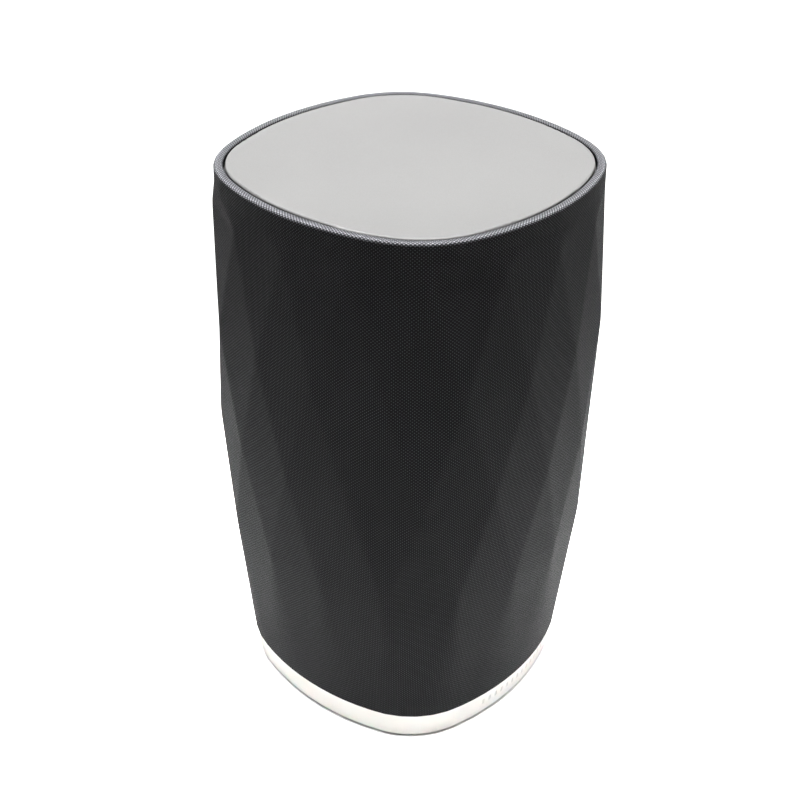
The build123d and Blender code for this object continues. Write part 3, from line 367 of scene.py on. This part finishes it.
def tape(s, base):
    """Overlapping turns of tape round a wound part."""
    height = s.split(s.place())[2]
    lap = s.span(s.math("FRACT", s.times(height, 140.0)), 0.0, 0.12)
    wrinkle = s.noise(s.place(), 300.0, 3.0)
    s.set(
        Base_Color=s.mix(lap, shade(base, 0.75), base),
        Roughness=s.span(wrinkle, 0.3, 0.7, 0.22, 0.4),
        Normal=s.bump(lap, 0.5, 0.06 * MM),
    )


def windings(s, base, pitch=0.3 * MM):
    """Close turns of enamelled wire, with painted shade in the grooves between turns."""
    along = s.split(s.place())[1]
    turns = s.math("SINE", s.times(along, 2 * math.pi / pitch))
    s.set(
        # painted shade in the grooves between turns
        Base_Color=s.mix(s.span(turns, -0.6, 0.4), shade(base, 0.35), base),
        Metallic=0.85,
        Roughness=0.3,
        Coat_Weight=0.5,
        Normal=s.bump(turns, 0.6, 0.05 * MM),
    )


def light_pipe(s):
    """Hazy clear plastic with a faint cool glow."""
    haze = s.noise(s.place(), 1500.0, 2.0)
    s.set(
        Base_Color=s.mix(haze, (0.78, 0.82, 0.85), (0.9, 0.92, 0.94)),
        Roughness=s.span(haze, 0.3, 0.7, 0.25, 0.4),
        Transmission_Weight=0.35,
        Emission_Color=colour((0.75, 0.85, 1.0)),
        Emission_Strength=0.15,
    )


def ferrite(s):
    """Pitted grey ferrite."""
    where = s.place()
    pits = s.cells(where, 1800.0)
    smut = s.noise(where, 120.0, 4.0)
    s.set(
        Base_Color=s.mix(s.span(smut, 0.3, 0.7), (0.045, 0.045, 0.048), (0.085, 0.084, 0.085)),
        Roughness=s.span(pits, 0.0, 0.4, 0.75, 0.55),
        Normal=s.bump(pits, 0.3, 0.03 * MM),
    )


def treated_cloth(s):
    """Open weave stiffened with resin, as a driver's spider is."""
    x, _, z = s.split(s.place((1700.0, 1.0, 1700.0)))
    mesh = s.times(s.math("SINE", s.times(x, math.pi)), s.math("SINE", s.times(z, math.pi)))
    s.set(
        Base_Color=s.mix(s.span(mesh, -0.5, 0.5), (0.30, 0.20, 0.08), (0.66, 0.50, 0.26)),
        Roughness=0.7,
        Normal=s.bump(mesh, 0.5, 0.08 * MM),
    )


def acoustic_cloth(s):
    """Plain-woven charcoal cloth. The UV map counts warp yarns round and weft yarns up."""
    uv = s.node("ShaderNodeUVMap", uv_map="yarns").outputs[0]
    u, v, _ = s.split(uv)
    wander = s.minus(s.noise(uv, 0.02, 2.0), 0.5)
    u = s.plus(u, s.times(wander, 0.5))

    # the interlacing of the yarns, and how round each stands
    warp_wave = s.math("COSINE", s.times(u, math.pi))
    weft_wave = s.math("COSINE", s.times(v, math.pi))
    knuckles = s.times(warp_wave, weft_wave)
    warp_on_top = s.span(knuckles, -0.45, 0.45)
    across = [s.math("POWER", s.math("ABSOLUTE", wave), YARN_ROUNDNESS) for wave in (warp_wave, weft_wave)]
    round_yarn = s.times(*across)

    # tone: each yarn differs a little, fibres fuzz it, and the hollows between yarns get painted shade
    warp_number = s.math("FLOOR", s.plus(u, 0.5))
    weft_number = s.math("FLOOR", s.plus(v, 0.5))
    warp_yarn = s.noise(s.join(warp_number, s.times(v, 0.03)), 1.7, 1.0)
    weft_yarn = s.noise(s.join(s.times(u, 0.03), weft_number, 7.0), 1.7, 1.0)
    fibres = s.noise(s.join(s.times(u, 5.0), s.times(v, 5.0)), 1.0, 3.0, 0.7)
    streak = s.span(s.pick(warp_on_top, weft_yarn, warp_yarn), 0.25, 0.75, 0.93, 1.07)
    fuzz = s.span(fibres, 0.3, 0.7, 0.8, 1.2)
    patch = s.span(s.noise(uv, 0.012, 3.0), 0.35, 0.65, 0.96, 1.04)
    band = s.mark("rim_band")
    # painted shade in the hollows between yarns, less of it on the rim band
    hollow = s.math("MAXIMUM", s.span(round_yarn, *HOLLOW, 0.10, 1.06), s.times(band, 0.6))
    # painted light on the rim band, with a painted highlight on its outer fold
    rim_painted_light = s.plus(s.span(band, 0.0, 1.0, 1.0, RIM_PAINTED_LIGHT), s.times(s.mark("rim_fold"), FOLD_PAINTED_HIGHLIGHT))
    gain = s.times(s.times(s.times(streak, fuzz), s.times(hollow, patch)), rim_painted_light)
    tone = s.node("ShaderNodeVectorMath", operation="SCALE")
    s.put(tone.inputs[0], s.mix(warp_on_top, WEFT_TONE, WARP_TONE))
    s.put(tone.inputs["Scale"], gain)

    height = s.plus(s.plus(s.times(round_yarn, 0.75), s.times(fibres, 0.12)), s.times(knuckles, 0.13))
    s.set(
        Base_Color=tone.outputs[0],
        Roughness=s.minus(s.span(round_yarn, *HOLLOW, 1.0, 0.53), s.times(fibres, 0.06)),
        Specular_IOR_Level=CLOTH_SHINE,
        Normal=s.bump(height, 0.95, 0.18 * MM),
    )


# each of the record's material slots, with the function that makes it and that function's settings
MATERIALS = {
    "cloth": (acoustic_cloth,),
    "carrier_black": (moulded, (0.014, 0.014, 0.0145), 0.62),
    "top_satin": (top_satin, (0.079, 0.0783, 0.0776)),
    "foam_black": (foam, (0.02, 0.02, 0.02), 2600.0, 0.08),
    "screw_steel": (metal, (0.10, 0.10, 0.105), 0.38, (1, 1, 1)),
    "trim_white": (trim_white, TRIM_TONE),
    "base_grey": (moulded, (0.075, 0.075, 0.08), 0.58, 0.35, 1800.0, 0.05),
    "foot_rubber": (rubber, (0.022, 0.022, 0.023)),
    "socket_black": (moulded, (0.013, 0.013, 0.014), 0.5, 0.2),
    "contact_metal": (metal, (0.80, 0.66, 0.36), 0.22, (1, 1, 8)),
    "socket_shell": (metal, (0.66, 0.66, 0.65), 0.3, (1, 1, 12)),
    "board_green": (board,),
    "button_white": (moulded, TRIM_TONE, 0.46, 0.12, 3200.0, 0.01, 0.01),
    "switch_black": (moulded, (0.02, 0.02, 0.02), 0.36, 0.1),
    "light_pipe": (light_pipe,),
    "transformer_tape": (tape, (0.80, 0.60, 0.10)),
    "capacitor_sleeve": (moulded, (0.012, 0.018, 0.045), 0.22, 0.05, 700.0),
    "ferrite": (ferrite,),
    "heatsink_aluminium": (metal, (0.78, 0.78, 0.79), 0.34, (1, 1, 40)),
    "antenna_copper": (metal, (0.80, 0.46, 0.28), 0.3, (1, 1, 4)),
    "cable_jacket": (rubber, (0.03, 0.03, 0.03), 0.6),
    "cabinet_plastic": (moulded, (0.025, 0.025, 0.026), 0.6, 0.4, 1500.0, 0.06),
    "damping_wool": (foam, (0.40, 0.39, 0.36), 500.0, 0.6),
    "driver_frame": (moulded, (0.022, 0.022, 0.023), 0.5, 0.3, 2200.0, 0.04),
    "woven_cone": (woven_cone,),
    "surround_rubber": (rubber, (0.02, 0.02, 0.02), 0.55),
    "spider_cloth": (treated_cloth,),
    "coil_copper": (windings, (0.80, 0.42, 0.22)),
    "motor_steel": (metal, (0.52, 0.52, 0.53), 0.33, (1, 40, 1)),
    "dome_aluminium": (metal, (0.82, 0.82, 0.83), 0.28, (1, 1, 1), 0.02, 3000.0),
}


def make_material(slot):
    """The slot's material, which its function fills in."""
    shader = Shader(slot)
    maker, *settings = MATERIALS[slot]
    maker(shader, *settings)
    return shader.material


made_materials = {slot: make_material(slot) for slot in MATERIALS}

for part in frame["record"]["subparts"]:
    piece = nodes[part["node"]]
    piece.data.materials.clear()
    piece.data.materials.append(made_materials[part["material_slot"]])


# ---------------------------------------------------------------- the cloth sleeve
def soften(radii, round_step, up_step, reach):
    """Rounds off the creases of a table of radii, one row for each level and one column for each angle."""
    for axis, step in ((1, round_step), (0, up_step)):
        sigma = reach / step
        size = max(1, int(3 * sigma))
        kernel = np.exp(-0.5 * (np.arange(-size, size + 1) / sigma) ** 2)
        kernel /= kernel.sum()
        pad = ((size, size), (0, 0)) if axis == 0 else ((0, 0), (size, size))
        wide = np.pad(radii, pad, mode="reflect" if axis == 0 else "wrap")
        radii = np.apply_along_axis(lambda line: np.convolve(line, kernel, mode="valid"), axis, wide)
    return radii


def cloth_radii(levels, angles):
    """Radius of the CAD cover's outer face at each level and angle."""
    cover = nodes["fabric_cover"].data
    tree = BVHTree.FromPolygons([v.co for v in cover.vertices], [tuple(p.vertices) for p in cover.polygons])
    well_outside = 0.2          # the rays start here, in metres from the middle
    radii = np.zeros((len(levels), len(angles)))
    for i, level in enumerate(levels):
        for k, angle in enumerate(angles):
            inward = Vector((-math.cos(angle), -math.sin(angle), 0))
            hit = tree.ray_cast(Vector((0, 0, level)) - inward * well_outside, inward)[0]
            radii[i, k] = math.hypot(hit.x, hit.y)
    return radii


def rim_profile(width):
    """Level, distance drawn in, and share of flat band and fold, from the shoulder over the rim into the gap."""
    quarter = math.pi / 2
    rows = []
    for t in (0.0, 0.25, 0.5, 0.75, 0.94):
        rows.append((SHOULDER + t * (CROWN - RIM_BEND - SHOULDER), RIM_LEAN * t, 0.0, 0.0))
    for t in np.linspace(0, 1, 9):
        turn = quarter * t
        drawn = RIM_LEAN + RIM_BEND * (1 - math.cos(turn))
        rows.append((CROWN - RIM_BEND * (1 - math.sin(turn)), drawn, t, math.sin(turn) ** 2))
    for t in (0.25, 0.5, 0.75, 1.0):
        drawn = RIM_LEAN + RIM_BEND + t * (width - RIM_LIP - RIM_BEND - RIM_LEAN)
        rows.append((CROWN - RIM_FALL * t, drawn, 1.0, max(0.0, 1 - 3 * t)))
    for k in range(1, 6):
        turn = quarter * k / 5
        level = CROWN - RIM_FALL - RIM_LIP * (1 - math.cos(turn))
        rows.append((level, width - RIM_LIP * (1 - math.sin(turn)), 1.0 - k / 6, 0.0))
    for depth in RIM_ENDS:
        rows.append((CROWN - depth, width, 0.0, 0.0))
    return rows


def sleeve_rows(angles):
    """Level and radii of each ring of the sleeve, with its share of flat band and fold."""
    count = int(round((SHOULDER - HEM) / ROW_STEP))
    levels = np.linspace(HEM + END_GAP, SHOULDER - END_GAP, count)
    radii = cloth_radii(levels, angles)
    radii = soften(radii, 2 * math.pi * MEAN_RADIUS / COLUMNS, levels[1] - levels[0], CREASE)
    sway = WAVE_SWAY * np.sin(levels * SWAY_RATE)
    radii += SLACK * np.sin(WAVES_ROUND * angles[None, :] + sway[:, None])
    rows = []
    for share in np.linspace(1.0, 0.0, HEM_ROWS)[:-1]:
        turn = share * math.pi / 2
        drawn = HEM_DRAW * (1 - math.cos(turn)) + HEM_LEAN * share
        rows.append((levels[0] - HEM_DROP * math.sin(turn) + HEM_RAISE, radii[0] - drawn, 0.0, 0.0))
    rows += [(level, ring, 0.0, 0.0) for level, ring in zip(levels[1:], radii[1:])]
    top = radii[-1]
    for level, drawn, band, fold in rim_profile(float(top[0]) - (PLATE_HALF + RIM_GAP)):
        rows.append((level, top - drawn, band, fold))
    return rows


def build_sleeve(rings):
    """A mesh of rings, each a list of points, joined by quads."""
    points = [tuple(point) for ring in rings for point in ring]
    faces = []
    for low in range(0, (len(rings) - 1) * COLUMNS, COLUMNS):
        for k in range(COLUMNS):
            after = (k + 1) % COLUMNS
            faces.append((low + k, low + after, low + COLUMNS + after, low + COLUMNS + k))
    mesh = bpy.data.meshes.new("cloth_sleeve")
    mesh.from_pydata(points, [], faces)
    mesh.update()
    mesh.polygons.foreach_set("use_smooth", [True] * len(faces))
    return mesh


def lay_yarns(mesh, along):
    """UV map that counts the warp yarns round the sleeve and the weft yarns along it."""
    per_column = YARNS_ROUND / COLUMNS
    corners = []
    for low, high in zip(along, along[1:]):
        for k in range(COLUMNS):
            left, right = k * per_column, (k + 1) * per_column
            corners += [left, low, right, low, right, high, left, high]
    mesh.uv_layers.new(name="yarns").data.foreach_set("uv", corners)


def mark_points(mesh, name, shares):
    """Stores one value for each ring on the ring's points."""
    values = np.repeat(np.array(shares, np.float32), COLUMNS)
    mesh.attributes.new(name, "FLOAT", "POINT").data.foreach_set("value", values)


def make_cloth():
    """The sleeve, with the flat size of its sheet: the mean way round its rings, and the way along it."""
    angles = np.arange(COLUMNS) * 2 * math.pi / COLUMNS
    levels, radii, bands, folds = zip(*sleeve_rows(angles))
    rings = [np.c_[r * np.cos(angles), r * np.sin(angles), np.full(COLUMNS, z)] for z, r in zip(levels, radii)]
    along = [0.0]
    for low, high in zip(rings, rings[1:]):
        along.append(along[-1] + float(np.linalg.norm(high[0] - low[0])))
    mesh = build_sleeve(rings)
    lay_yarns(mesh, [length / YARN_STEP for length in along])
    mark_points(mesh, "rim_band", bands)
    mark_points(mesh, "rim_fold", folds)
    mesh.materials.append(made_materials["cloth"])
    made = bpy.data.objects.new("cloth_sleeve", mesh)
    bpy.context.scene.collection.objects.link(made)
    girths = [np.linalg.norm(ring - np.roll(ring, 1, axis=0), axis=1).sum() for ring in rings]
    return made, float(np.mean(girths)), along[-1]


sleeve, cloth_round, cloth_long = make_cloth()
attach(sleeve, "enclosure")
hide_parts("fabric_cover")


# ---------------------------------------------------------------- floor, light and camera
AZIMUTH = math.radians(-49.82)      # where the camera stands, from the front towards -X
ELEVATION = 0.5771
ROLL = 0.0140
DISTANCE = 0.52367                  # from the camera to the middle of the object
LENS = 61.99
SHIFT = (-0.00925, 0.02666)
FLOOR = 4.3
ROOM_LIGHT = 0.32                   # strength of the world's light
ROOM_WHITE, ROOM_BLACK = 0.05, 0.35     # towards the camera, where the room starts to darken and is black

# name, how far behind the object, height, size, power and spread in degrees
LAMPS = (
    ("overhead", -0.02, 0.6, (0.42, 0.40), 2.9, 34),
    ("broad", 0.75, 1.2, (3.0, 1.9), 18.0, 50),
    ("room", 0.0, 0.8, (4.8, 4.8), 66.0, 25),
)


def make_floor():
    bpy.ops.mesh.primitive_plane_add(size=FLOOR, location=(0, 0, 0), rotation=(0, 0, AZIMUTH))
    floor = bpy.context.object
    floor.name = "floor"
    s = Shader("floor_white")
    mottle = s.noise(s.place(), 3.0, 2.0)
    s.set(Base_Color=s.mix(mottle, (0.90, 0.90, 0.90), (0.92, 0.92, 0.92)), Roughness=0.9, Specular_IOR_Level=0.1)
    floor.data.materials.append(s.material)


def soft_box(name, behind, height, size, power, spread):
    """Level lamp that shines down, square to the view."""
    data = bpy.data.lights.new(name, "AREA")
    data.shape = "RECTANGLE"
    data.size, data.size_y = size
    data.energy = power
    data.spread = math.radians(spread)
    lamp = bpy.data.objects.new(name, data)
    lamp.location = (-math.sin(AZIMUTH) * behind, math.cos(AZIMUTH) * behind, height)
    lamp.rotation_euler = (0, 0, AZIMUTH)
    bpy.context.scene.collection.objects.link(lamp)


def make_camera():
    """Camera aimed at the middle of the object. Gives back the direction from there to the camera."""
    target = Vector((0, 0, (cad_box[1][2] + cad_box[0][2]) / 2))
    level = math.cos(ELEVATION)
    back = Vector((math.sin(AZIMUTH) * level, -math.cos(AZIMUTH) * level, math.sin(ELEVATION)))
    right = Vector((math.cos(AZIMUTH), math.sin(AZIMUTH), 0))
    up = back.cross(right)
    turned_right = math.cos(ROLL) * right + math.sin(ROLL) * up
    turned_up = -math.sin(ROLL) * right + math.cos(ROLL) * up
    data = bpy.data.cameras.new("camera")
    data.sensor_width = 36.0
    data.lens = LENS
    data.shift_x, data.shift_y = SHIFT
    data.clip_start = 0.01
    camera = bpy.data.objects.new("camera", data)
    axes = Matrix((turned_right, turned_up, back)).transposed()
    camera.matrix_world = Matrix.Translation(target + back * DISTANCE) @ axes.to_4x4()
    bpy.context.scene.collection.objects.link(camera)
    bpy.context.scene.camera = camera
    return back


def make_world(toward_camera):
    """White room, darker on the side the camera stands, in front of a plain white backdrop."""
    world = bpy.data.worlds.new("room")
    bpy.context.scene.world = world
    world.use_nodes = True
    tree = world.node_tree
    add, link = tree.nodes.new, tree.links.new
    room = tree.nodes["Background"]
    dot = add("ShaderNodeVectorMath")
    dot.operation = "DOT_PRODUCT"
    link(add("ShaderNodeTexCoord").outputs["Generated"], dot.inputs[0])
    dot.inputs[1].default_value = toward_camera
    ramp = add("ShaderNodeValToRGB")
    link(dot.outputs["Value"], ramp.inputs["Fac"])
    for stop, place, grey in zip(ramp.color_ramp.elements, (ROOM_WHITE, ROOM_BLACK), (1.0, 0.0)):
        stop.position = place
        stop.color = (grey, grey, grey, 1)
    link(ramp.outputs["Color"], room.inputs["Color"])
    room.inputs["Strength"].default_value = ROOM_LIGHT

    backdrop = add("ShaderNodeBackground")
    backdrop.inputs["Color"].default_value = (1, 1, 1, 1)
    chosen = add("ShaderNodeMixShader")
    link(add("ShaderNodeLightPath").outputs["Is Camera Ray"], chosen.inputs[0])
    link(room.outputs[0], chosen.inputs[1])
    link(backdrop.outputs[0], chosen.inputs[2])
    link(chosen.outputs[0], tree.nodes["World Output"].inputs["Surface"])


make_floor()
make_world(make_camera())
for lamp in LAMPS:
    soft_box(*lamp)
view = bpy.context.scene.view_settings
view.view_transform = "Standard"
view.look = "None"
view.exposure = 0.0
